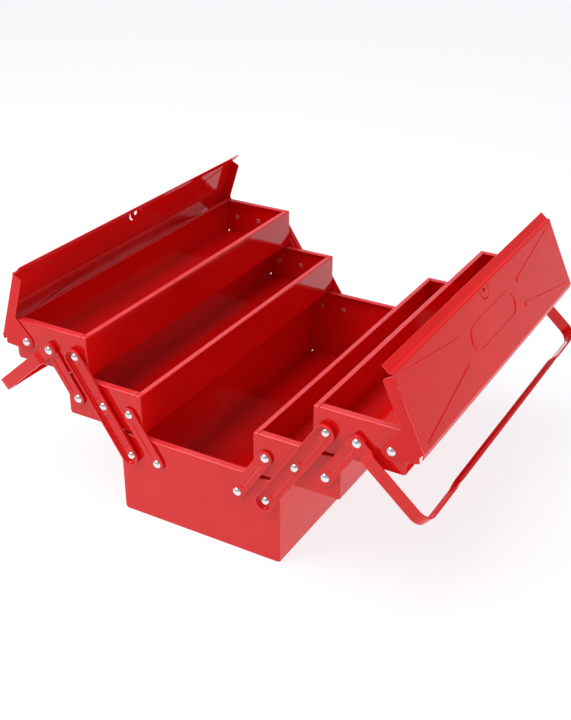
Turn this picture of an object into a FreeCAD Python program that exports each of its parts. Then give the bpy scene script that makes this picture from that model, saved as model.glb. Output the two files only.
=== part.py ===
import FreeCAD, Part
import math
import os

# Cantilever tool box: a base tray, two stacked trays on each side that swing out
# on parallel arms, and a hinged lid and a carrying handle on each upper tray.
# X runs across the box, Y along it, Z up. The origin is at the middle of the base's
# underside. Sizes are in millimetres. The box is modelled standing open.

# Sheet metal of the base, the trays and the lids
sheet = 1.0
bend_radius = 1.6
hem_width = 6.0
end_flange_width = 8.0
slit_width = 1.0
slit_depth = 2.2
relief_radius = 1.4
corner_tab_width = 10.0

# Base and trays
box_length = 436.0
box_width = 200.0
base_height = 100.0
tray_width = 98.5
tray_height = 48.4
tray_pivot_height = 23.4

# Linkage
pivot_pitch = 34.0
base_pivot_height = 75.5
arm_length = 61.7
arm_open_angle = 56.8
long_arm_width = 21.0
short_arm_width = 16.0
arm_sheet = 1.8
long_arm_rim = 3.6
rim_bend_radius = 1.4
long_groove_width = 8.6
short_groove_width = 5.0
groove_depth = 0.9
groove_side_share = 0.5
groove_start = 9.0

# Rivets and washers
shank_radius = 2.5
hole_clearance = 0.08
head_radius = 4.8
head_height = 2.3
head_gap = 0.15
tail_radius = 3.6
tail_height = 1.3
tail_bore_radius = 1.4
tail_bore_depth = 1.0
washer_radius = 6.0
washer_thickness = 1.1
lid_washer_thickness = 0.4
side_gap = 0.1

# Lid: heights and reaches are from its pivot, with its face level
lid_rise = 32.8
lid_back = 8.2
lid_face = 83.6
lid_step = 3.6
lid_step_angle = 70.0
lid_step_radius = 2.4
lid_lip = 9.73
lid_lip_angle = 22.8
lid_lip_radius = 1.2
lid_skirt = 6.0
lid_skirt_angle = 32.0
lid_skirt_radius = 1.5
lid_open_angle_right = 115.1
lid_open_angle_left = 107.9
flap_depth = 12.6
flap_free_gap = 2.2
flap_free_draw_in = 1.4
flap_back_gap = 0.7
flap_neck_reach = 21.5
flap_neck_radius = 5.0
flap_corner_radius = 2.5
flap_lobe_radius = 9.4
flap_ear_reach = 16.4
flap_ear_drop = 8.0
flap_ear_radius = 1.5
flap_notch_reach = 2.3
flap_notch_drop = 6.3

# Stiffening beads and the bare frame pressed into the lid's face
bead_height = 1.3
bead_side_run = 0.8
bead_inner_width = 6.4
bead_outer_width = 2.6
bead_inner_reach = 84.0
bead_outer_inset = 16.0
bead_upper_inner_rise = 57.5
bead_upper_outer_rise = 78.0
bead_lower_inner_rise = 27.3
bead_lower_outer_rise = 5.6
frame_length = 124.0
frame_width = 31.6
frame_rise = 43.4
frame_rib = 3.6
frame_height = 1.1
back_share = 0.55

# Hasp tongue cut into the lid's face below the step; the left one is bent inwards
hasp_width = 23.0
hasp_depth = 15.8
hasp_top_gap = 2.6
hasp_slit = 1.8
hasp_hole_radius = 3.0
hasp_hole_drop = 5.2
hasp_bend_radius = 3.0
hasp_bend_angle_left = 15.0

# Handle
strap_width = 14.2
strap_sheet = 2.0
handle_reach = 100.8
handle_rest_angle = 41.4
handle_bend_radius = 15.0
tab_overhang = 8.0
tab_corner_radius = 3.0
joggle_start = 13.5
joggle_length = 5.5
joggle_step = 3.7
joggle_radius = 2.5
grip_half_length = 137.0
grip_transition = 28.0
grip_steps = 6

# Cutting tools run this far past the faces that they cut
overrun = 2.0

X_AXIS = FreeCAD.Vector(1, 0, 0)
Y_AXIS = FreeCAD.Vector(0, 1, 0)
Z_AXIS = FreeCAD.Vector(0, 0, 1)
ORIGIN = FreeCAD.Vector(0, 0, 0)

half_length = box_length / 2

# Distances outwards from the end wall
arm_near = washer_thickness + side_gap
arm_far = arm_near + arm_sheet
tab_near = arm_far + side_gap
tab_far = tab_near + strap_sheet
strap_far = tab_far + joggle_step
flap_near = lid_washer_thickness + side_gap
flap_far = flap_near + sheet
lid_half_length = half_length + flap_far

# Pivots of the right side with the trays swung out
closed_centre = (box_width - tray_width) / 2
arm_reach = arm_length * math.cos(math.radians(arm_open_angle))
arm_rise = arm_length * math.sin(math.radians(arm_open_angle))
base_inner = (closed_centre, base_pivot_height)
base_outer = (closed_centre + pivot_pitch, base_pivot_height)


def arm_top(bottom):
    return (bottom[0] + arm_reach, bottom[1] + arm_rise)


def beside(pivot, steps):
    return (pivot[0] + steps * pivot_pitch, pivot[1])


lower_inner = arm_top(base_inner)
lower_middle = arm_top(base_outer)
lower_outer = beside(lower_middle, 1)
upper_inner = arm_top(lower_middle)
upper_middle = arm_top(lower_outer)
upper_outer = beside(upper_middle, 1)


def vec(x, y, z):
    return FreeCAD.Vector(x, y, z)


def box(x0, x1, y0, y1, z0, z1):
    return Part.makeBox(x1 - x0, y1 - y0, z1 - z0, vec(x0, y0, z0))


def rod_y(pivot, radius, y0, y1):
    """A round bar along Y through a point of the XZ plane."""
    return Part.makeCylinder(radius, y1 - y0, vec(pivot[0], y0, pivot[1]), Y_AXIS)


def mirrored_x(shape):
    return shape.mirror(ORIGIN, X_AXIS)


def both_ends(shape):
    """The shape at the front end and its mirror image at the rear end."""
    return [shape, shape.mirror(ORIGIN, Y_AXIS)]


def line(a, b, to_space):
    return Part.LineSegment(to_space(*a), to_space(*b)).toShape()


def arc(a, middle, b, to_space):
    return Part.Arc(to_space(*a), to_space(*middle), to_space(*b)).toShape()


def at_y(y):
    """Puts points of the XZ plane at this Y."""
    return lambda x, z: vec(x, y, z)


def at_z(z):
    """Puts points given as Y and X at this height."""
    return lambda y, x: vec(x, y, z)


def on_circle(centre, radius, degrees):
    angle = math.radians(degrees)
    return (centre[0] + radius * math.cos(angle), centre[1] + radius * math.sin(angle))


def offset_points(points, distance):
    """The corners of an open outline moved to the left of its direction."""
    moved = []
    last = len(points) - 1
    for i, here in enumerate(points):
        normals = []
        for a, b in ((points[max(i - 1, 0)], here), (here, points[min(i + 1, last)])):
            length = math.dist(a, b)
            if length > 0:
                normals.append(((a[1] - b[1]) / length, (b[0] - a[0]) / length))
        first = normals[0]
        second = normals[-1]
        scale = distance / (1 + first[0] * second[0] + first[1] * second[1])
        moved.append((here[0] + scale * (first[0] + second[0]), here[1] + scale * (first[1] + second[1])))
    return moved


def rounded_edges(points, radii, to_space):
    """Straight edges through the points with an arc of its own radius at each inner corner."""
    edges = []
    last = points[0]
    for i in range(1, len(points) - 1):
        before, here, after = points[i - 1:i + 2]
        radius = radii[i - 1]
        if radius <= 0:
            edges.append(line(last, here, to_space))
            last = here
            continue
        to_before = math.dist(here, before)
        to_after = math.dist(here, after)
        back = ((before[0] - here[0]) / to_before, (before[1] - here[1]) / to_before)
        ahead = ((after[0] - here[0]) / to_after, (after[1] - here[1]) / to_after)
        inside = math.acos(back[0] * ahead[0] + back[1] * ahead[1])
        cut = radius / math.tan(inside / 2)
        start = (here[0] + back[0] * cut, here[1] + back[1] * cut)
        end = (here[0] + ahead[0] * cut, here[1] + ahead[1] * cut)
        deep = (radius / math.sin(inside / 2) - radius) / (2 * math.cos(inside / 2))
        middle = (here[0] + (back[0] + ahead[0]) * deep, here[1] + (back[1] + ahead[1]) * deep)
        edges.append(line(last, start, to_space))
        edges.append(arc(start, middle, end, to_space))
        last = end
    edges.append(line(last, points[-1], to_space))
    return edges


def strip_face(points, radii, thickness, to_space):
    """A bent strip seen edge on: the points are one side, and the strip lies to their left."""
    other = offset_points(points, thickness)
    other_radii = []
    for i in range(1, len(points) - 1):
        before, here, after = points[i - 1:i + 2]
        ahead = (after[0] - here[0], after[1] - here[1])
        turn = (here[0] - before[0]) * ahead[1] - (here[1] - before[1]) * ahead[0]
        other_radii.append(radii[i - 1] - math.copysign(thickness, turn))
    edges = rounded_edges(points, radii, to_space)
    edges.append(line(points[-1], other[-1], to_space))
    edges.extend(rounded_edges(other[::-1], other_radii[::-1], to_space))
    edges.append(line(other[0], points[0], to_space))
    return Part.Face(Part.Wire(edges))


def bar_wire(a, b, radius_a, radius_b, to_space):
    """The outline of a bar between two points with a round end of its own radius at each."""
    length = math.dist(a, b)
    heading = math.degrees(math.atan2(b[1] - a[1], b[0] - a[0]))
    turn = math.degrees(math.acos((radius_a - radius_b) / length))
    a_left = on_circle(a, radius_a, heading + turn)
    a_right = on_circle(a, radius_a, heading - turn)
    b_left = on_circle(b, radius_b, heading + turn)
    b_right = on_circle(b, radius_b, heading - turn)
    return Part.Wire([
        line(a_left, b_left, to_space),
        arc(b_left, on_circle(b, radius_b, heading), b_right, to_space),
        line(b_right, a_right, to_space),
        arc(a_right, on_circle(a, radius_a, heading + 180), a_left, to_space),
    ])


def pressed_bar(a, b, radius_a, radius_b, side_run, bottom, top):
    """A bar with sloping sides, drawn in by the side run at its top."""
    return Part.makeLoft([
        bar_wire(a, b, radius_a, radius_b, bottom),
        bar_wire(a, b, radius_a - side_run, radius_b - side_run, top),
    ], True, True)


def sheet_tray(x0, x1, z0, height):
    """An open tray folded from sheet, with hems on its long walls and flanges on its ends."""
    z1 = z0 + height
    outside = box(x0, x1, -half_length, half_length, z0, z1)
    outside = outside.makeFillet(bend_radius, outside.Edges)
    inner_end = half_length - sheet
    inside = box(x0 + sheet, x1 - sheet, -inner_end, inner_end, z0 + sheet, z1 - sheet)
    flange_end = half_length - end_flange_width
    mouth = box(x0 + hem_width, x1 - hem_width, -flange_end, flange_end,
                z1 - sheet - overrun, z1 + overrun)
    cuts = [inside, mouth]
    for start in (x0 + hem_width, x1 - hem_width - slit_width):
        slit = box(start, start + slit_width, -half_length - overrun, -flange_end,
                   z1 - slit_depth, z1 + overrun)
        cuts.extend(both_ends(slit))
    for x in (x0 + sheet, x1 - sheet):
        under_corner = vec(x, -inner_end, z0 - overrun)
        relief = Part.makeCylinder(relief_radius, sheet + 2 * overrun, under_corner, Z_AXIS)
        cuts.extend(both_ends(relief))
    tabs = []
    for start in (x0 + sheet, x1 - 2 * sheet):
        tab = box(start, start + sheet, -inner_end, -inner_end + corner_tab_width,
                  z0 + sheet + relief_radius, z1 - sheet)
        tabs.extend(both_ends(tab))
    return outside.cut(cuts).fuse(tabs).removeSplitter()


def pierced(tray, pivots):
    """The tray with a rivet hole at each pivot in both end walls."""
    holes = []
    for pivot in pivots:
        hole = rod_y(pivot, shank_radius + hole_clearance,
                     -half_length - overrun, -half_length + sheet + overrun)
        holes.extend(both_ends(hole))
    return tray.cut(holes)


def rivet(pivot, seat):
    """A semi-tubular rivet through the front end wall; its domed head is just clear of the seat."""
    def place(radius, out):
        return vec(pivot[0] + radius, -half_length - out, pivot[1])

    under_head = seat + head_gap
    top = under_head + head_height
    crown = (head_radius ** 2 + head_height ** 2) / (2 * head_height)
    halfway = math.asin(head_radius / crown) / 2
    shoulder = (crown * math.sin(halfway), top - crown * (1 - math.cos(halfway)))
    tail_end = -sheet - tail_height
    curl = math.sqrt(0.5)
    tail_side = (tail_bore_radius + (tail_radius - tail_bore_radius) * curl, -sheet - tail_height * curl)
    bore_end = tail_end + tail_bore_depth
    edges = [
        arc((0, top), shoulder, (head_radius, under_head), place),
        line((head_radius, under_head), (shank_radius, under_head), place),
        line((shank_radius, under_head), (shank_radius, -sheet), place),
        line((shank_radius, -sheet), (tail_radius, -sheet), place),
        arc((tail_radius, -sheet), tail_side, (tail_bore_radius, tail_end), place),
        line((tail_bore_radius, tail_end), (tail_bore_radius, bore_end), place),
        line((tail_bore_radius, bore_end), (0, bore_end), place),
        line((0, bore_end), (0, top), place),
    ]
    face = Part.Face(Part.Wire(edges))
    return face.revolve(vec(pivot[0], 0, pivot[1]), Y_AXIS, 360)


def washer(pivot, thickness):
    ring = rod_y(pivot, washer_radius, -half_length - thickness, -half_length)
    bore = rod_y(pivot, shank_radius + hole_clearance,
                 -half_length - thickness - overrun, -half_length + overrun)
    return ring.cut(bore)


def at_both_ends(shapes):
    """One group of the shapes at the front end and the same at the rear."""
    group = []
    for shape in shapes:
        group.extend(both_ends(shape))
    return Part.makeCompound(group)


def between(a, b, distance):
    """The point at this distance from a on the way to b."""
    share = distance / math.dist(a, b)
    return (a[0] + (b[0] - a[0]) * share, a[1] + (b[1] - a[1]) * share)


def arm_blank(a, b, width, rim):
    """A bar whose edge is turned up outwards by the rim, like a shallow tray with round ends."""
    outer = -half_length - arm_far
    half = width / 2
    outline = bar_wire(a, b, half, half, at_y(outer - rim))
    blank = Part.Face(outline).extrude(vec(0, arm_sheet + rim, 0))
    if rim == 0:
        return blank
    wall_side = [edge for edge in blank.Edges if edge.BoundBox.YMin > outer + arm_sheet / 2]
    blank = blank.makeFillet(rim_bend_radius + arm_sheet, wall_side)
    inside = bar_wire(a, b, half - arm_sheet, half - arm_sheet, at_y(outer - rim - overrun))
    dish = Part.Face(inside).extrude(vec(0, rim + overrun, 0))
    floor = [edge for edge in dish.Edges if edge.BoundBox.YMin > outer - rim / 2]
    return blank.cut(dish.makeFillet(rim_bend_radius, floor))


def arm(pivots, width, groove_width, rim):
    """An arm at the front end with a pivot hole at each point and pressed grooves between."""
    outer = -half_length - arm_far
    inner = -half_length - arm_near
    radius = groove_width / 2
    boss_radius = radius + arm_sheet / 2
    side_run = radius * groove_side_share
    bosses = []
    cuts = []
    for a, b in zip(pivots, pivots[1:]):
        start = between(a, b, groove_start + radius)
        end = between(b, a, groove_start + radius)
        bosses.append(pressed_bar(start, end, boss_radius, boss_radius, side_run,
                                  at_y(inner), at_y(inner + groove_depth)))
        cuts.append(pressed_bar(start, end, radius, radius, side_run,
                                at_y(outer), at_y(outer + groove_depth)))
    for pivot in pivots:
        cuts.append(rod_y(pivot, shank_radius + hole_clearance, outer - overrun, inner + overrun))
    return arm_blank(pivots[0], pivots[-1], width, rim).fuse(bosses).cut(cuts).removeSplitter()


def tangent_angle(point, radius, side):
    """The direction from the pivot of where a line from the point touches a circle round it."""
    toward = math.degrees(math.atan2(point[1], point[0]))
    return toward + side * math.degrees(math.acos(radius / math.hypot(*point)))


def lid_flap():
    """The folded front end of the lid, which carries its pivot."""
    front = lid_face - lid_back
    low = lid_rise - flap_depth
    back_top = (-lid_back + flap_back_gap, lid_rise)
    free_top = (front - flap_free_gap, lid_rise)
    free_low = (front - flap_free_gap - flap_free_draw_in, low)
    neck = (flap_neck_reach, low)
    ear = (-flap_ear_reach, lid_rise - flap_ear_drop)
    notch = (-lid_back - flap_notch_reach, lid_rise - flap_notch_drop)
    first = tangent_angle(neck, flap_lobe_radius, -1)
    last = tangent_angle(ear, flap_lobe_radius, 1) - 360
    lobe_start = on_circle((0, 0), flap_lobe_radius, first)
    lobe_bottom = on_circle((0, 0), flap_lobe_radius, (first + last) / 2)
    lobe_end = on_circle((0, 0), flap_lobe_radius, last)
    outer = at_y(-lid_half_length - overrun)
    edges = rounded_edges([back_top, free_top, free_low, neck, lobe_start],
                          [0, flap_corner_radius, flap_neck_radius], outer)
    edges.append(arc(lobe_start, lobe_bottom, lobe_end, outer))
    edges.extend(rounded_edges([lobe_end, ear, notch, back_top], [flap_ear_radius, 0], outer))
    outline = Part.Face(Part.Wire(edges)).extrude(vec(0, fold_zone() + overrun, 0))
    # The fold seen along X: level with the face, then down the end
    fold = strip_face([
        (-lid_half_length + fold_zone(), lid_rise),
        (-lid_half_length, lid_rise),
        (-lid_half_length, -flap_lobe_radius),
    ], [lid_skirt_radius], sheet, lambda y, z: vec(-flap_ear_reach, y, z))
    folded = fold.extrude(vec(flap_ear_reach + front, 0, 0))
    hole = rod_y((0, 0), shank_radius + hole_clearance, -lid_half_length - overrun, -half_length + overrun)
    return folded.common(outline).cut(hole)


def fold_zone():
    """How far the end fold reaches in from the lid's end."""
    return 2 * lid_skirt_radius


def bead_ends(inner_rise, outer_rise):
    """A bead's ends as Y and X in the lid's own frame, from the lid's middle to its corner."""
    inner = (-bead_inner_reach, inner_rise - lid_back)
    outer = (-lid_half_length + bead_outer_inset, outer_rise - lid_back)
    return inner, outer


def frame_ring(rib, height, side_run, bottom):
    """The bare oval frame as a rib with sloping sides."""
    middle = (frame_width - frame_rib) / 2
    run = (frame_length - frame_width) / 2
    a = (-run, frame_rise - lid_back)
    b = (run, frame_rise - lid_back)
    outer_radius = middle + rib / 2
    inner_radius = middle - rib / 2
    outer = pressed_bar(a, b, outer_radius, outer_radius, side_run, at_z(bottom), at_z(bottom + height))
    inner = pressed_bar(a, b, inner_radius, inner_radius, -side_run, at_z(bottom), at_z(bottom + height))
    return outer.cut(inner)


def hasp_column(radius):
    """A column with the tongue's outline, round at its low end, through the lid's face."""
    fold = lid_face - lid_back
    low = (0, fold - hasp_depth + hasp_width / 2)
    column = Part.Face(bar_wire(low, (0, fold), radius, radius, at_z(lid_rise - hasp_width)))
    column = column.extrude(vec(0, 0, 2 * hasp_width))
    above = box(fold - hasp_top_gap, fold + hasp_width, -hasp_width, hasp_width,
                lid_rise - hasp_width - overrun, lid_rise + hasp_width + overrun)
    return column.cut(above)


def hasp_tongue(bend):
    """The tongue with its padlock hole, bent inwards near its upper end by an angle in degrees."""
    root = lid_face - lid_back - hasp_top_gap
    turn = math.radians(bend)
    section = [
        (root, lid_rise),
        (root - sheet, lid_rise),
        (root - sheet - hasp_depth * math.cos(turn), lid_rise - hasp_depth * math.sin(turn)),
    ]
    radius = hasp_bend_radius if bend > 0 else 0
    strip = strip_face(section, [radius], sheet, at_y(-hasp_width)).extrude(vec(0, 2 * hasp_width, 0))
    hole_at = vec(lid_face - lid_back - hasp_hole_drop, 0, lid_rise - hasp_width)
    hole = Part.makeCylinder(hasp_hole_radius, 2 * hasp_width, hole_at, Z_AXIS)
    return strip.common(hasp_column(hasp_width / 2 - hasp_slit)).cut(hole)


def lid_in_own_frame(hasp_bend):
    """The lid with its pivot at zero, its face level and its free edge towards +X."""
    back = -lid_back
    front = lid_face - lid_back
    step = math.radians(lid_step_angle)
    lip = math.radians(lid_lip_angle)
    skirt = math.radians(lid_skirt_angle)
    foot = (front + lid_step * math.cos(step), lid_rise - lid_step * math.sin(step))
    section = [
        (foot[0] + lid_lip * math.cos(lip), foot[1] - lid_lip * math.sin(lip)),
        foot,
        (front, lid_rise),
        (back, lid_rise),
        (back - lid_skirt * math.cos(skirt), lid_rise - lid_skirt * math.sin(skirt)),
    ]
    panel = strip_face(section, [lid_lip_radius, lid_step_radius, lid_skirt_radius], sheet,
                       at_y(-lid_half_length))
    panel = panel.extrude(vec(0, 2 * lid_half_length, 0))
    corner = box(back + flap_back_gap, front - flap_free_gap, -lid_half_length - overrun,
                 -lid_half_length + fold_zone(), lid_rise - sheet - overrun, lid_rise + overrun)
    panel = panel.cut(both_ends(corner)).fuse(both_ends(lid_flap()))

    under = lid_rise - sheet
    raised = [frame_ring(frame_rib, frame_height, bead_side_run, lid_rise)]
    hollows = [frame_ring(frame_rib * back_share, frame_height, bead_side_run / 2, under)]
    upper_rises = (bead_upper_inner_rise, bead_upper_outer_rise)
    lower_rises = (bead_lower_inner_rise, bead_lower_outer_rise)
    for rises in (upper_rises, lower_rises):
        inner, outer = bead_ends(*rises)
        inner_radius = bead_inner_width / 2
        outer_radius = bead_outer_width / 2
        rib = pressed_bar(inner, outer, inner_radius, outer_radius, bead_side_run,
                          at_z(lid_rise), at_z(lid_rise + bead_height))
        hollow = pressed_bar(inner, outer, inner_radius * back_share, outer_radius * back_share,
                             bead_side_run / 2, at_z(under), at_z(under + bead_height))
        raised.extend(both_ends(rib))
        hollows.extend(both_ends(hollow))
    pressed = panel.fuse(raised).cut(hollows + [hasp_column(hasp_width / 2)])
    return pressed.fuse(hasp_tongue(hasp_bend)).removeSplitter()


def placed_lid(lid, open_angle):
    """The right lid turned from its own frame to where it stands open."""
    placed = mirrored_x(lid)
    placed.rotate(ORIGIN, Y_AXIS, 180 - open_angle)
    placed.translate(vec(upper_outer[0], 0, upper_outer[1]))
    return placed


def grip_section(y, curl):
    """The handle's strip across, at this Y, curled through an angle in degrees."""
    half = strap_width / 2
    near = handle_reach - strap_sheet

    def place(a, b):
        return vec(a, y, b)

    if curl == 0:
        corners = [(near, -half), (near, half), (handle_reach, half), (handle_reach, -half)]
        edges = [line(a, b, place) for a, b in zip(corners, corners[1:] + corners[:1])]
        return Part.Wire(edges)
    middle_radius = strap_width / math.radians(curl)
    inner = middle_radius - strap_sheet / 2
    outer = middle_radius + strap_sheet / 2
    centre = (handle_reach + inner * math.cos(math.radians(curl / 2)), 0)
    first = 180 + curl / 2
    last = 180 - curl / 2
    outer_ends = (on_circle(centre, outer, first), on_circle(centre, outer, last))
    inner_ends = (on_circle(centre, inner, first), on_circle(centre, inner, last))
    return Part.Wire([
        arc(outer_ends[0], on_circle(centre, outer, 180), outer_ends[1], place),
        line(outer_ends[1], inner_ends[1], place),
        arc(inner_ends[1], on_circle(centre, inner, 180), inner_ends[0], place),
        line(inner_ends[0], outer_ends[0], place),
    ])


def handle_in_own_frame():
    """The handle with its pivot at zero and its straps towards +X."""
    front_strap = [
        (-tab_overhang, -half_length - tab_far),
        (joggle_start, -half_length - tab_far),
        (joggle_start + joggle_length, -half_length - strap_far),
        (handle_reach, -half_length - strap_far),
    ]
    rear_strap = [(a, -y) for a, y in front_strap[::-1]]
    bends = [joggle_radius, joggle_radius + strap_sheet, handle_bend_radius]
    outline = strip_face(front_strap + rear_strap, bends + bends[::-1], strap_sheet,
                         lambda a, y: vec(a, y, -strap_width / 2))
    strap = outline.extrude(vec(0, 0, strap_width))
    tab_corners = [edge for edge in strap.Edges
                   if edge.BoundBox.XMax < -tab_overhang / 2 and edge.BoundBox.ZLength < strap_width / 2
                   and edge.BoundBox.YLength > strap_sheet / 2]
    strap = strap.makeFillet(tab_corner_radius, tab_corners)
    holes = both_ends(rod_y((0, 0), shank_radius + hole_clearance,
                            -half_length - tab_far - overrun, -half_length - tab_near + overrun))
    flat_end = grip_half_length + grip_transition
    bar = box(handle_reach - strap_sheet - overrun, handle_reach + overrun, -flat_end, flat_end,
              -strap_width, strap_width)
    strap = strap.cut(holes + [bar])
    sections = []
    for step in range(grip_steps + 1):
        share = step / grip_steps
        curl = 180 * (1 - math.cos(math.pi * share)) / 2
        sections.append(grip_section(-flat_end + grip_transition * share, curl))
    transition = Part.makeLoft(sections, True, True)
    grip = Part.Face(grip_section(-grip_half_length, 180)).extrude(vec(0, 2 * grip_half_length, 0))
    return strap.fuse(both_ends(transition) + [grip]).removeSplitter()


def placed_handle():
    placed = handle_in_own_frame()
    placed.rotate(ORIGIN, Y_AXIS, handle_rest_angle)
    placed.translate(vec(upper_middle[0], 0, upper_middle[1]))
    return placed


def tray_at(pivot, pivots):
    """A tray centred over its middle pivot."""
    half = tray_width / 2
    tray = sheet_tray(pivot[0] - half, pivot[0] + half, pivot[1] - tray_pivot_height, tray_height)
    return pierced(tray, pivots)


parts = {}


def keep_pair(name, right, left):
    parts["right_" + name] = right
    parts["left_" + name] = mirrored_x(left)


def keep_arms(name, front):
    """The same arm at the front and the rear end of both sides."""
    shape, rear = both_ends(front)
    keep_pair(name + "_front", shape, shape)
    keep_pair(name + "_rear", rear, rear)


base_pivots = [base_inner, base_outer, (-base_inner[0], base_inner[1]), (-base_outer[0], base_outer[1])]
lower_pivots = [lower_inner, lower_middle, lower_outer]
upper_pivots = [upper_inner, upper_middle, upper_outer]

base = sheet_tray(-box_width / 2, box_width / 2, 0, base_height)
parts["base_tray"] = pierced(base, base_pivots)
parts["base_rivets"] = at_both_ends([rivet(pivot, arm_far) for pivot in base_pivots])
parts["base_washers"] = at_both_ends([washer(pivot, washer_thickness) for pivot in base_pivots])

lower_tray = tray_at(lower_middle, lower_pivots)
upper_tray = tray_at(upper_middle, upper_pivots)
keep_pair("lower_tray", lower_tray, lower_tray)
keep_pair("upper_tray", upper_tray, upper_tray)

long_pivots = [base_outer, lower_middle, upper_inner]
keep_arms("long_arm", arm(long_pivots, long_arm_width, long_groove_width, long_arm_rim))
short_arms = {"lower_arm": [base_inner, lower_inner], "upper_arm": [lower_outer, upper_middle]}
for arm_name, pivots in short_arms.items():
    keep_arms(arm_name, arm(pivots, short_arm_width, short_groove_width, 0))

lower_rivets = at_both_ends([rivet(pivot, arm_far) for pivot in lower_pivots])
upper_seats = [arm_far, tab_far, flap_far]
upper_rivets = at_both_ends([rivet(*place) for place in zip(upper_pivots, upper_seats)])
keep_pair("lower_rivets", lower_rivets, lower_rivets)
keep_pair("upper_rivets", upper_rivets, upper_rivets)

lower_washers = at_both_ends([washer(pivot, washer_thickness) for pivot in lower_pivots])
upper_rests = [washer_thickness, washer_thickness, lid_washer_thickness]
upper_washers = at_both_ends([washer(*place) for place in zip(upper_pivots, upper_rests)])
keep_pair("lower_washers", lower_washers, lower_washers)
keep_pair("upper_washers", upper_washers, upper_washers)

right_lid = placed_lid(lid_in_own_frame(0), lid_open_angle_right)
left_lid = placed_lid(lid_in_own_frame(hasp_bend_angle_left), lid_open_angle_left)
keep_pair("lid", right_lid, left_lid)

handle = placed_handle()
keep_pair("handle", handle, handle)

os.makedirs("parts", exist_ok=True)
for name, shape in parts.items():
    shape.exportStep("parts/" + name + ".step")
    print(name, len(shape.Solids), round(shape.Volume, 1), shape.isValid())
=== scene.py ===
import math

import bpy
from bpy.props import FloatProperty, FloatVectorProperty, PointerProperty
from bpy.types import Operator, Panel, PropertyGroup
from mathutils import Matrix, Vector


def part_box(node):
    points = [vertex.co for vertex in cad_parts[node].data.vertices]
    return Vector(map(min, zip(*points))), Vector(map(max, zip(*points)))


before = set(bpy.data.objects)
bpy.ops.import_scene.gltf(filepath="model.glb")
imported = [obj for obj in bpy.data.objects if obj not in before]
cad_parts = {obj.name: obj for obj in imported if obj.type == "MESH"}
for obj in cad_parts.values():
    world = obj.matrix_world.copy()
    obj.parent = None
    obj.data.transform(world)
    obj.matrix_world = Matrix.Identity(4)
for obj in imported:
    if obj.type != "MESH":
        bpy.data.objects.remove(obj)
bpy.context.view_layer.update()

bl_info = {
    "name": "Cantilever tool box",
    "version": (1, 0, 0),
    "blender": (4, 5, 0),
    "location": "View3D > Sidebar > Tool Box",
    "description": "Paints a folding steel tool box and sets a studio stage for it",
    "category": "Object",
}

MM = 0.001

# Nodes of the box, by the finish that they get
SIDES = ("right_", "left_")
ENDS = ("_front", "_rear")
TRAYS = ["base_tray"] + [side + tray for side in SIDES for tray in ("lower_tray", "upper_tray")]
LIDS = [side + "lid" for side in SIDES]
HANDLES = [side + "handle" for side in SIDES]
ARMS = [side + arm + end for side in SIDES for arm in ("long_arm", "lower_arm", "upper_arm")
        for end in ENDS]
RIVETS = ["base_rivets"] + [side + row for side in SIDES for row in ("lower_rivets", "upper_rivets")]
WASHERS = ["base_washers"] + [side + row for side in SIDES for row in ("lower_washers", "upper_washers")]

# Outer face of the rear end wall; the front one mirrors it
END_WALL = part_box("base_tray")[1][1]

# Noise patterns: width of a mark, detail, roughness
CLOUDS = (140 * MM, 3.0, 0.5)
MOTTLE = (11 * MM, 4.0, 0.6)
PATCHES = (26 * MM, 3.0, 0.6)
FLECKS = (1.5 * MM, 3.0, 0.65)
SMEARS = (45 * MM, 5.0, 0.65)
HANDLING = (6 * MM, 4.0, 0.6)

# Detail and roughness of the patterns whose width is a setting
WAVES = (1.0, 0.5)
RIPPLES = (1.5, 0.5)
GRAIN = (3.0, 0.7)

# Enamel: where each noise starts to count and where it counts in full
CLOUD_SPAN = (0.35, 0.70)
MOTTLE_SPAN = (0.45, 0.75)
# The lighter edge red is partly thinner enamel and partly a painted highlight
THIN_AND_HIGHLIGHT_SPAN = (0.30, 0.70)
# The rim red is a painted highlight on the level rim tops
RIM_HIGHLIGHT_SPAN = (0.25, 0.65)
FLECK_SPAN = (0.66, 0.70)
CHIP_SPAN = (0.50, 0.62)
SMEAR_SPAN = (0.30, 0.75)

# Enamel: how much of each mark shows at the least and at the most
MOTTLE_SHARES = (0.0, 0.22)
THIN_AND_HIGHLIGHT_SHARES = (0.35, 0.85)
RIM_HIGHLIGHT_SHARES = (0.55, 0.95)
RIM_SHARES = (0.5, 1.0)
SMOOTHER = 0.06
ROUGHER = 0.10
CHIP_DEPTH = 0.05 * MM
GLOSS_IOR = 1.46

# Cosine of the turn at which an edge starts, and at which it counts in full
EDGE_TURN = (0.995, 0.80)

# Rims: how close to a tray's top a surface is level with it, and how far in the end rims reach, for the
# painted highlight on the rim tops
RIM_TOLERANCE = 0.35 * MM
END_RIM = (7 * MM, 10 * MM)

# Plating: where its noises count, how they change its roughness, and how high its grain stands
HANDLED_SPAN = (0.35, 0.75)
GRAIN_SPAN = (0.30, 0.75)
GRAIN_ROUGHNESS = (0.8, 1.5)
GRAIN_HEIGHT = 0.004 * MM

# Enamel over the plating: it starts this far inside the end walls and hides this much
PAINT_START = (0.9 * MM, 1.0 * MM)
PAINT_SHARE = 0.8

# Stage, in metres
FLOOR_REACH = 9.0
FLOOR_DROP = 0.05 * MM
LAMP_TARGET = (0, 0, 0.1)
SENSOR_WIDTH_MM = 36
CAMERA_RANGE = (0.05, 60)


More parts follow.
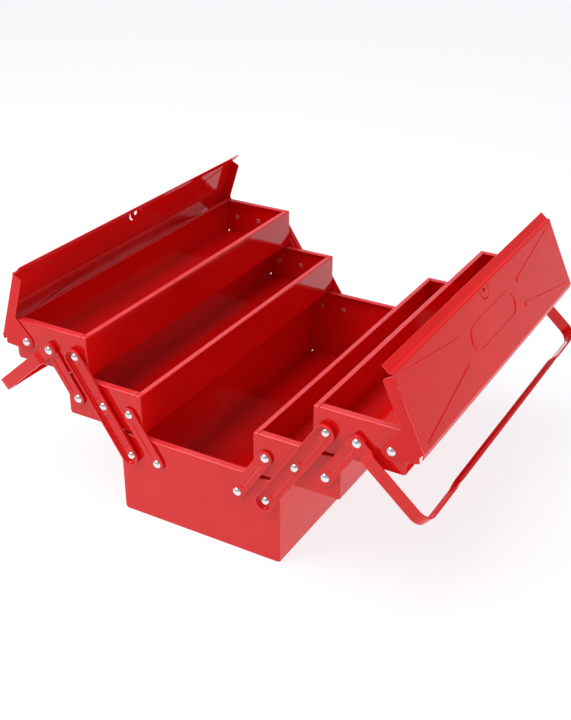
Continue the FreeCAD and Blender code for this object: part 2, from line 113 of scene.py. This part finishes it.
class PaintSettings(PropertyGroup):
    """The glossy red enamel of the sheet metal"""

    colour: FloatVectorProperty(
        name="Colour", description="Red of the enamel where it lies thick",
        subtype="COLOR", size=3, min=0, max=1, default=(0.73, 0.0055, 0.0055))
    deep_colour: FloatVectorProperty(
        name="Deep colour", description="Red that the enamel drifts towards in soft clouds",
        subtype="COLOR", size=3, min=0, max=1, default=(0.66, 0.0045, 0.0050))
    # Partly thinner enamel over an edge, partly a painted highlight along it
    thin_edge_and_highlight_colour: FloatVectorProperty(
        name="Edge colour", description="Lighter red where the enamel thins over an edge, partly a painted highlight",
        subtype="COLOR", size=3, min=0, max=1, default=(0.90, 0.06, 0.07))
    # A painted highlight: pale pink standing in for the reflection on the level rim tops
    rim_highlight_colour: FloatVectorProperty(
        name="Rim highlight colour", description="Pale red painted on the level rim tops as a highlight",
        subtype="COLOR", size=3, min=0, max=1, default=(0.68, 0.075, 0.085))
    bare_colour: FloatVectorProperty(
        name="Bare colour", description="Steel that shows in the smallest edge chips",
        subtype="COLOR", size=3, min=0, max=1, default=(0.34, 0.30, 0.29))
    roughness: FloatProperty(
        name="Roughness", description="Roughness of the colour coat under the gloss",
        min=0, max=1, default=0.42)
    gloss_roughness: FloatProperty(
        name="Gloss roughness", description="Roughness of the clear gloss on top",
        min=0, max=1, default=0.09)
    edge_width: FloatProperty(
        name="Edge width", description="How far the thin enamel reaches in from an edge",
        unit="LENGTH", min=0, default=1.1 * MM)
    peel_size: FloatProperty(
        name="Peel size", description="Width of one ripple of the sprayed surface",
        unit="LENGTH", min=0.1 * MM, default=3.2 * MM)
    peel_height: FloatProperty(
        name="Peel height", description="Height of the sprayed surface's ripples",
        unit="LENGTH", min=0, default=0.012 * MM)
    sway_size: FloatProperty(
        name="Sway size", description="Width of one soft wave in a large sheet",
        unit="LENGTH", min=1 * MM, default=95 * MM)
    sway_height: FloatProperty(
        name="Sway height", description="Height of the soft waves in a large sheet",
        unit="LENGTH", min=0, default=0.35 * MM)


class SteelSettings(PropertyGroup):
    """The bright plated steel of the rivets and washers"""

    colour: FloatVectorProperty(
        name="Colour", description="Colour of the plating",
        subtype="COLOR", size=3, min=0, max=1, default=(0.86, 0.85, 0.85))
    dull_colour: FloatVectorProperty(
        name="Dull colour", description="Colour of the plating where it is handled",
        subtype="COLOR", size=3, min=0, max=1, default=(0.68, 0.68, 0.70))
    roughness: FloatProperty(
        name="Roughness", description="Roughness of the plating", min=0, max=1, default=0.2)
    grain_size: FloatProperty(
        name="Grain size", description="Width of the plating's fine marks",
        unit="LENGTH", min=0.05 * MM, default=0.45 * MM)


class StageSettings(PropertyGroup):
    """The floor, the light and the camera"""

    floor_colour: FloatVectorProperty(
        name="Floor colour", description="Colour of the floor",
        subtype="COLOR", size=3, min=0, max=1, default=(0.22, 0.22, 0.22))
    floor_glow: FloatProperty(
        name="Floor glow", description="Light that the floor gives by itself, like a lit studio table",
        min=0, default=0.82)
    floor_tint: FloatVectorProperty(
        name="Floor tint", description="Colour of the light that the floor gives",
        subtype="COLOR", size=3, min=0, max=1, default=(0.975, 0.98, 1.0))
    room_colour: FloatVectorProperty(
        name="Room colour", description="Light of the plain grey room round the box",
        subtype="COLOR", size=3, min=0, max=1, default=(0.39, 0.395, 0.415))
    key_power: FloatProperty(
        name="Key power", description="Power of the soft lamp at the front left",
        unit="POWER", min=0, default=12.0)
    top_power: FloatProperty(
        name="Top power", description="Power of the wide lamp overhead",
        unit="POWER", min=0, default=36.0)
    side_power: FloatProperty(
        name="Side power", description="Power of the low lamp at the right",
        unit="POWER", min=0, default=5.0)
    camera_place: FloatVectorProperty(
        name="Camera place", description="Where the camera stands",
        subtype="TRANSLATION", unit="LENGTH", size=3, default=(0.57357, -1.03272, 0.75150))
    camera_heading: FloatProperty(
        name="Camera heading", description="Turn of the camera from looking along the box",
        unit="ROTATION", default=math.radians(29.81))
    camera_pitch: FloatProperty(
        name="Camera pitch", description="How far the camera looks down",
        unit="ROTATION", default=math.radians(28.38))
    camera_roll: FloatProperty(
        name="Camera roll", description="Lean of the camera",
        unit="ROTATION", default=math.radians(0.12))
    camera_lens: FloatProperty(
        name="Lens", description="Focal length in millimetres on a 36 mm sensor", min=1, default=56.5)


def add_node(tree, kind, inputs=None, **settings):
    """A shader node whose inputs are plain values or other nodes' outputs"""
    node = tree.nodes.new(kind)
    for name, value in settings.items():
        setattr(node, name, value)
    for name, value in (inputs or {}).items():
        if isinstance(value, bpy.types.NodeSocket):
            tree.links.new(value, node.inputs[name])
        else:
            node.inputs[name].default_value = value
    return node


def add_noise(tree, place, width, detail, roughness):
    """Soft noise whose marks are about this wide"""
    node = add_node(tree, "ShaderNodeTexNoise", {
        "Vector": place, "Scale": 1 / width, "Detail": detail, "Roughness": roughness})
    return node.outputs["Fac"]


def add_range(tree, value, span, to=(0.0, 1.0)):
    """The value stretched from one span to another, and held at its ends"""
    node = add_node(tree, "ShaderNodeMapRange", {
        "Value": value, "From Min": span[0], "From Max": span[1], "To Min": to[0], "To Max": to[1]})
    return node.outputs["Result"]


def add_math(tree, operation, *values):
    node = add_node(tree, "ShaderNodeMath", dict(enumerate(values)), operation=operation)
    return node.outputs[0]


def add_mix(tree, share, a, b):
    """Colour a turning into colour b"""
    node = add_node(tree, "ShaderNodeMix", {"Factor": share, 6: a, 7: b}, data_type="RGBA")
    return node.outputs[2]


def add_bump(tree, height, distance, under=None):
    """A surface raised by this much, over another bump if there is one"""
    inputs = {"Height": height, "Distance": distance, "Strength": 1.0}
    if under is not None:
        inputs["Normal"] = under
    return add_node(tree, "ShaderNodeBump", inputs).outputs["Normal"]


def add_axis(tree, place, axis):
    return add_node(tree, "ShaderNodeSeparateXYZ", {"Vector": place}).outputs[axis]


def opaque(colour):
    return (*colour, 1.0)


def new_material(name, preview):
    """A material with an empty tree"""
    material = bpy.data.materials.new(name)
    material.use_nodes = True
    material.diffuse_color = opaque(preview)
    material.node_tree.nodes.clear()
    return material, material.node_tree


def place_on_piece(tree):
    return add_node(tree, "ShaderNodeTexCoord").outputs["Object"]


def finish_material(tree, shader):
    output = add_node(tree, "ShaderNodeOutputMaterial")
    tree.links.new(shader.outputs["BSDF"], output.inputs["Surface"])


def edge_share(tree, width):
    """1 at an edge and 0 on the flat, from how a rounded edge would turn the surface"""
    rounded = add_node(tree, "ShaderNodeBevel", {"Radius": width}, samples=6).outputs["Normal"]
    flat = add_node(tree, "ShaderNodeNewGeometry").outputs["Normal"]
    turn = add_node(tree, "ShaderNodeVectorMath", {0: rounded, 1: flat}, operation="DOT_PRODUCT")
    return add_range(tree, turn.outputs["Value"], EDGE_TURN)


def from_middle(tree, place):
    """Distance along the box from its middle"""
    return add_math(tree, "ABSOLUTE", add_axis(tree, place, "Y"))


def painted_rim_highlight(tree, place):
    """Where the painted rim highlight goes: 1 on the level tops of the trays' long rims, half on their
    end rims and 0 elsewhere
    """
    height = add_axis(tree, place, "Z")
    end_rim = (END_WALL - END_RIM[0], END_WALL - END_RIM[1])
    share = add_range(tree, from_middle(tree, place), end_rim, RIM_SHARES)
    level = 0.0
    for tray in ("base_tray", "right_lower_tray", "right_upper_tray"):
        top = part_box(tray)[1][2]
        here = add_math(tree, "COMPARE", height, top, RIM_TOLERANCE)
        level = add_math(tree, "MAXIMUM", level, here)
    return add_math(tree, "MULTIPLY", share, level)


def red_enamel(name, settings, sway=1.0, wear_and_highlight=1.0, gloss=1.0, rims=False):
    """Glossy enamel on sheet steel. sway and gloss scale its waves and clear coat; the edge scale sets
    its chips and its lighter edges, which are partly thinner enamel and partly a painted highlight. With
    rims the trays' level rim tops get a painted highlight.
    """
    material, tree = new_material(name, settings.colour)
    place = place_on_piece(tree)
    deep = opaque(settings.deep_colour)
    clouds = add_noise(tree, place, *CLOUDS)
    mottle = add_noise(tree, place, *MOTTLE)
    colour = add_mix(tree, add_range(tree, clouds, CLOUD_SPAN), opaque(settings.colour), deep)
    colour = add_mix(tree, add_range(tree, mottle, MOTTLE_SPAN, MOTTLE_SHARES), colour, deep)

    edge = edge_share(tree, settings.edge_width)
    patches = add_noise(tree, place, *PATCHES)
    # Lighter red along edges: partly thinner enamel, partly a painted highlight
    thinning_and_highlight = add_range(tree, patches, THIN_AND_HIGHLIGHT_SPAN, [share * wear_and_highlight for share in THIN_AND_HIGHLIGHT_SHARES])
    thin_and_highlight = add_math(tree, "MULTIPLY", edge, thinning_and_highlight)
    colour = add_mix(tree, thin_and_highlight, colour, opaque(settings.thin_edge_and_highlight_colour))
    # Painted highlight on the trays' level rim tops, broken into patches
    if rims:
        rim_highlight_patches = add_range(tree, patches, RIM_HIGHLIGHT_SPAN, RIM_HIGHLIGHT_SHARES)
        rim_highlight = add_math(tree, "MULTIPLY", painted_rim_highlight(tree, place), rim_highlight_patches)
        colour = add_mix(tree, rim_highlight, colour, opaque(settings.rim_highlight_colour))
    flecks = add_noise(tree, place, *FLECKS)
    chipping = add_range(tree, patches, CHIP_SPAN, (0.0, wear_and_highlight))
    chipped = add_math(tree, "MULTIPLY", add_range(tree, flecks, FLECK_SPAN), chipping)
    bare = add_math(tree, "MULTIPLY", edge, chipped)
    colour = add_mix(tree, bare, colour, opaque(settings.bare_colour))

    smears = add_noise(tree, place, *SMEARS)
    rough = (settings.roughness - SMOOTHER, settings.roughness + ROUGHER)
    waves = add_noise(tree, place, settings.sway_size, *WAVES)
    ripples = add_noise(tree, place, settings.peel_size, *RIPPLES)
    normal = add_bump(tree, waves, settings.sway_height * sway)
    normal = add_bump(tree, ripples, settings.peel_height, normal)
    normal = add_bump(tree, bare, -CHIP_DEPTH, normal)

    shader = add_node(tree, "ShaderNodeBsdfPrincipled", {
        "Base Color": colour,
        "Roughness": add_range(tree, smears, SMEAR_SPAN, rough),
        "Specular IOR Level": 0.0,
        "Coat Weight": gloss,
        "Coat Roughness": settings.gloss_roughness,
        "Coat IOR": GLOSS_IOR,
        "Normal": normal,
        "Coat Normal": normal,
    })
    finish_material(tree, shader)
    return material


def paint_share(tree, place):
    """How much enamel hides the steel: most of it within the trays' end walls, none outside them"""
    start = (END_WALL - PAINT_START[0], END_WALL - PAINT_START[1])
    return add_range(tree, from_middle(tree, place), start, (0.0, PAINT_SHARE))


def plated_steel(name, settings, paint, dull=0.5):
    """Bright plating with fine marks, painted over inside the trays; dull is how much is handled"""
    material, tree = new_material(name, settings.colour)
    place = place_on_piece(tree)
    handled = add_noise(tree, place, *HANDLING)
    grain = add_noise(tree, place, settings.grain_size, *GRAIN)
    share = add_range(tree, handled, HANDLED_SPAN, (0.0, dull))
    colour = add_mix(tree, share, opaque(settings.colour), opaque(settings.dull_colour))
    rough = [settings.roughness * scale for scale in GRAIN_ROUGHNESS]
    painted = paint_share(tree, place)
    shader = add_node(tree, "ShaderNodeBsdfPrincipled", {
        "Base Color": add_mix(tree, painted, colour, opaque(paint.deep_colour)),
        "Metallic": add_math(tree, "SUBTRACT", 1.0, painted),
        "Roughness": add_range(tree, grain, GRAIN_SPAN, rough),
        "Normal": add_bump(tree, grain, GRAIN_HEIGHT),
    })
    finish_material(tree, shader)
    return material


def dress(names, material):
    """Gives the named pieces their finish"""
    for name in names:
        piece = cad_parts[name]
        for material_slot in piece.material_slots:
            material_slot.material = material


class TOOLBOX_OT_trays(Operator):
    """Paint the base tray and the four trays that swing out"""

    bl_idname = "toolbox.trays"
    bl_label = "Paint trays"
    bl_options = {"REGISTER", "UNDO"}

    def execute(self, context):
        # rims=True gives the trays a painted highlight on their rim tops
        dress(TRAYS, red_enamel("tray_enamel", context.scene.toolbox_paint, rims=True))
        return {"FINISHED"}


class TOOLBOX_OT_lids(Operator):
    """Paint the two lids"""

    bl_idname = "toolbox.lids"
    bl_label = "Paint lids"
    bl_options = {"REGISTER", "UNDO"}

    def execute(self, context):
        dress(LIDS, red_enamel("lid_enamel", context.scene.toolbox_paint, sway=1.3, gloss=0.7))
        return {"FINISHED"}


class TOOLBOX_OT_arms(Operator):
    """Paint the twelve arms"""

    bl_idname = "toolbox.arms"
    bl_label = "Paint arms"
    bl_options = {"REGISTER", "UNDO"}

    def execute(self, context):
        # Arms get more chips and more of the lighter edge red, which is partly a painted highlight
        dress(ARMS, red_enamel("arm_enamel", context.scene.toolbox_paint, sway=0.3, wear_and_highlight=1.3))
        return {"FINISHED"}


class TOOLBOX_OT_handles(Operator):
    """Paint the two handles"""

    bl_idname = "toolbox.handles"
    bl_label = "Paint handles"
    bl_options = {"REGISTER", "UNDO"}

    def execute(self, context):
        # Handles get the most chips and lighter edge red, which is partly a painted highlight
        enamel = red_enamel("handle_enamel", context.scene.toolbox_paint, sway=0.3, wear_and_highlight=1.5)
        dress(HANDLES, enamel)
        return {"FINISHED"}


class TOOLBOX_OT_rivets(Operator):
    """Plate the rivets"""

    bl_idname = "toolbox.rivets"
    bl_label = "Plate rivets"
    bl_options = {"REGISTER", "UNDO"}

    def execute(self, context):
        scene = context.scene
        dress(RIVETS, plated_steel("rivet_steel", scene.toolbox_steel, scene.toolbox_paint))
        return {"FINISHED"}


class TOOLBOX_OT_washers(Operator):
    """Plate the washers"""

    bl_idname = "toolbox.washers"
    bl_label = "Plate washers"
    bl_options = {"REGISTER", "UNDO"}

    def execute(self, context):
        scene = context.scene
        steel = plated_steel("washer_steel", scene.toolbox_steel, scene.toolbox_paint, dull=1.0)
        dress(WASHERS, steel)
        return {"FINISHED"}


def lay_floor(settings):
    """A plain pale floor under the box"""
    mesh = bpy.data.meshes.new("floor")
    corners = [(x * FLOOR_REACH, y * FLOOR_REACH, 0) for x, y in ((-1, -1), (1, -1), (1, 1), (-1, 1))]
    mesh.from_pydata(corners, [], [(0, 1, 2, 3)])
    floor = bpy.data.objects.new("floor", mesh)
    floor.location.z = -FLOOR_DROP
    bpy.context.scene.collection.objects.link(floor)
    material, tree = new_material("floor_white", settings.floor_colour)
    shader = add_node(tree, "ShaderNodeBsdfPrincipled", {
        "Base Color": opaque(settings.floor_colour), "Roughness": 0.9, "Specular IOR Level": 0.1,
        "Emission Color": opaque(settings.floor_tint), "Emission Strength": settings.floor_glow})
    finish_material(tree, shader)
    mesh.materials.append(material)


def light_room(settings):
    """A plain grey room and three soft lamps"""
    world = bpy.data.worlds.new("grey_room")
    bpy.context.scene.world = world
    world.use_nodes = True
    tree = world.node_tree
    tree.nodes.clear()
    background = add_node(tree, "ShaderNodeBackground", {"Color": opaque(settings.room_colour)})
    output = add_node(tree, "ShaderNodeOutputWorld")
    tree.links.new(background.outputs[0], output.inputs["Surface"])

    hang_lamp("key_lamp", settings.key_power, width=1.1, place=(-0.9, -1.3, 1.5))
    hang_lamp("top_lamp", settings.top_power, width=2.2, place=(-0.5, -0.25, 2.0))
    hang_lamp("side_lamp", settings.side_power, width=0.4, place=(1.5, -0.35, 0.24))


def hang_lamp(name, power, width, place):
    """A round soft lamp that looks at the box"""
    lamp = bpy.data.lights.new(name, "AREA")
    lamp.shape = "DISK"
    lamp.size = width
    lamp.energy = power
    holder = bpy.data.objects.new(name, lamp)
    holder.location = place
    aim = Vector(LAMP_TARGET) - holder.location
    holder.rotation_euler = aim.to_track_quat("-Z", "Y").to_euler()
    bpy.context.scene.collection.objects.link(holder)


def stand_camera(settings):
    """The camera at the photograph's viewing angle"""
    camera = bpy.data.cameras.new("camera")
    camera.sensor_width = SENSOR_WIDTH_MM
    camera.lens = settings.camera_lens
    camera.clip_start, camera.clip_end = CAMERA_RANGE
    holder = bpy.data.objects.new("camera", camera)
    turn = (Matrix.Rotation(settings.camera_heading, 4, "Z")
            @ Matrix.Rotation(math.pi / 2 - settings.camera_pitch, 4, "X")
            @ Matrix.Rotation(settings.camera_roll, 4, "Z"))
    holder.matrix_world = Matrix.Translation(Vector(settings.camera_place)) @ turn
    bpy.context.scene.collection.objects.link(holder)
    bpy.context.scene.camera = holder


class TOOLBOX_OT_stage(Operator):
    """Lay the floor, light the room and stand the camera"""

    bl_idname = "toolbox.stage"
    bl_label = "Set stage"
    bl_options = {"REGISTER", "UNDO"}

    def execute(self, context):
        settings = context.scene.toolbox_stage
        lay_floor(settings)
        light_room(settings)
        stand_camera(settings)
        context.scene.view_settings.view_transform = "Standard"
        return {"FINISHED"}


OPERATORS = (
    TOOLBOX_OT_trays,
    TOOLBOX_OT_lids,
    TOOLBOX_OT_arms,
    TOOLBOX_OT_handles,
    TOOLBOX_OT_rivets,
    TOOLBOX_OT_washers,
    TOOLBOX_OT_stage,
)


class TOOLBOX_PT_sidebar(Panel):
    """The tool box's operators and settings"""

    bl_idname = "TOOLBOX_PT_sidebar"
    bl_label = "Tool Box"
    bl_space_type = "VIEW_3D"
    bl_region_type = "UI"
    bl_category = "Tool Box"

    def draw(self, context):
        for operator in OPERATORS:
            self.layout.operator(operator.bl_idname)
        scene = context.scene
        for group in (scene.toolbox_paint, scene.toolbox_steel, scene.toolbox_stage):
            column = self.layout.box().column()
            for name in group.bl_rna.properties.keys():
                if name not in ("rna_type", "name"):
                    column.prop(group, name)


CLASSES = (PaintSettings, SteelSettings, StageSettings, *OPERATORS, TOOLBOX_PT_sidebar)


def register():
    for item in CLASSES:
        bpy.utils.register_class(item)
    bpy.types.Scene.toolbox_paint = PointerProperty(type=PaintSettings)
    bpy.types.Scene.toolbox_steel = PointerProperty(type=SteelSettings)
    bpy.types.Scene.toolbox_stage = PointerProperty(type=StageSettings)


def unregister():
    del bpy.types.Scene.toolbox_paint
    del bpy.types.Scene.toolbox_steel
    del bpy.types.Scene.toolbox_stage
    for item in reversed(CLASSES):
        bpy.utils.unregister_class(item)


def main():
    register()
    bpy.ops.toolbox.trays()
    bpy.ops.toolbox.lids()
    bpy.ops.toolbox.arms()
    bpy.ops.toolbox.handles()
    bpy.ops.toolbox.rivets()
    bpy.ops.toolbox.washers()
    bpy.ops.toolbox.stage()


if __name__ == "__main__":
    main()
